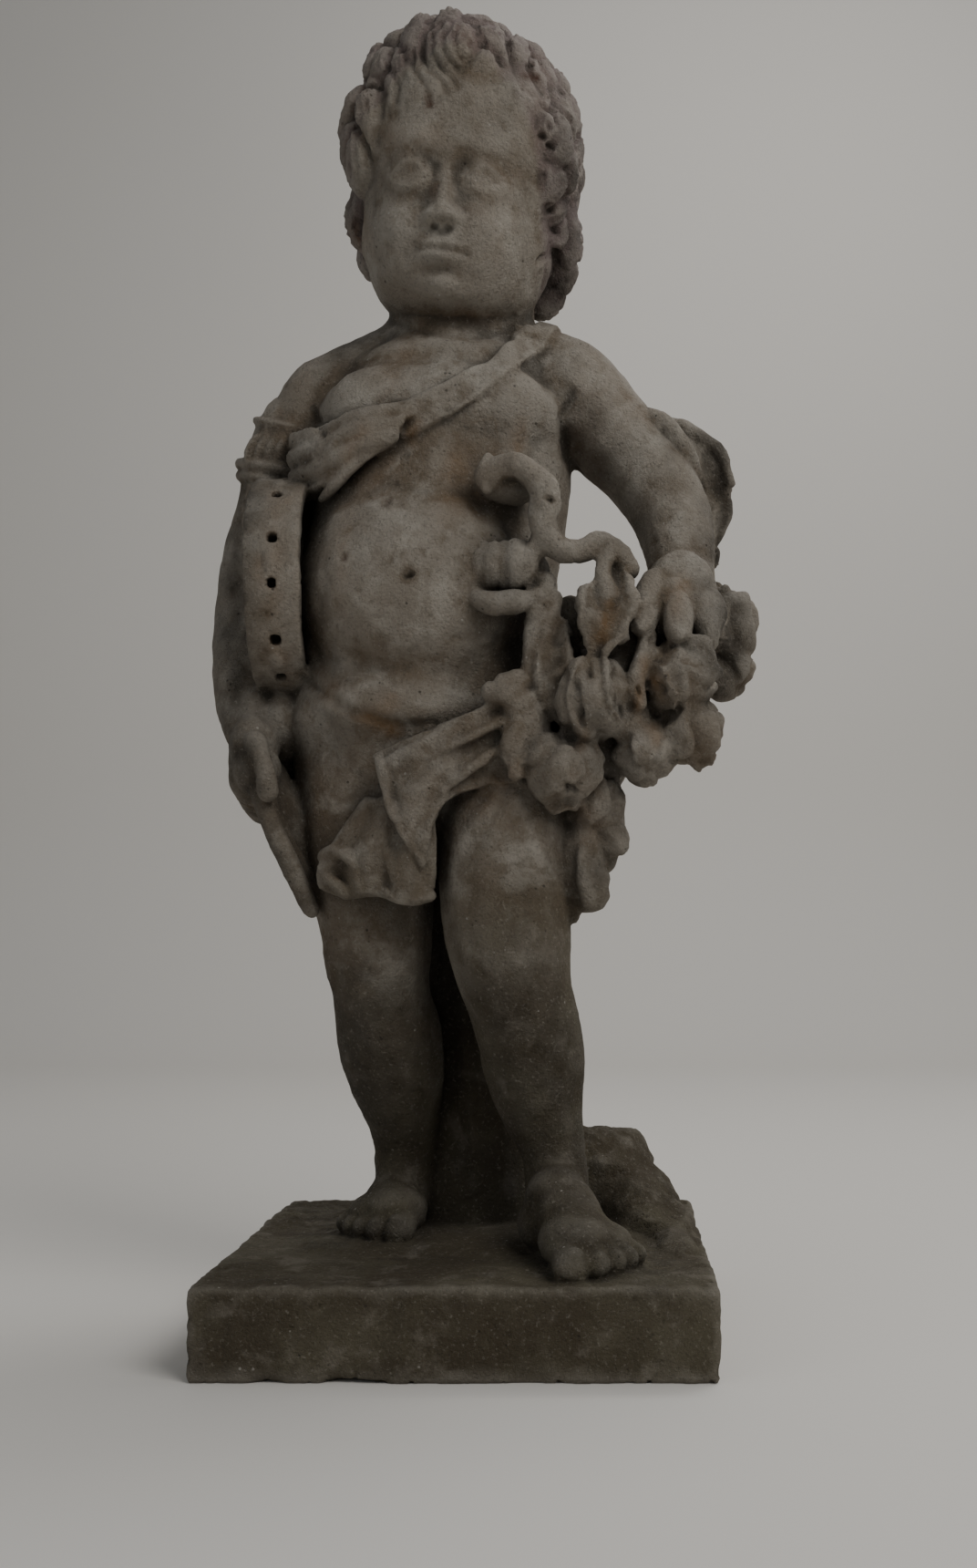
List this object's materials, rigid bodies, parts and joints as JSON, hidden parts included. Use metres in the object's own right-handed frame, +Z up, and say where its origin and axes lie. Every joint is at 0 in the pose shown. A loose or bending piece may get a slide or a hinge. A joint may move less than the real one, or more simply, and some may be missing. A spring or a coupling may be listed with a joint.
{
  "type": "putto statue",
  "caption": "Carved stone putto standing on a square plinth, with a tambourine under one arm and a bunch of roses under the other.",
  "frame": {"origin": "centre of the plinth's flat underside", "axes": "+Z up along the figure, -Y the way the figure faces, +X to the viewer's right, where the roses are"},
  "size_m": [0.493, 0.4, 1.1839],
  "materials": {
    "stone": "weathered grey-brown carved stone, rough and matt, darker on the legs and plinth"
  },
  "bodies": {
    "root": {"putto_statue": "stone"}
  },
  "joints": []
}
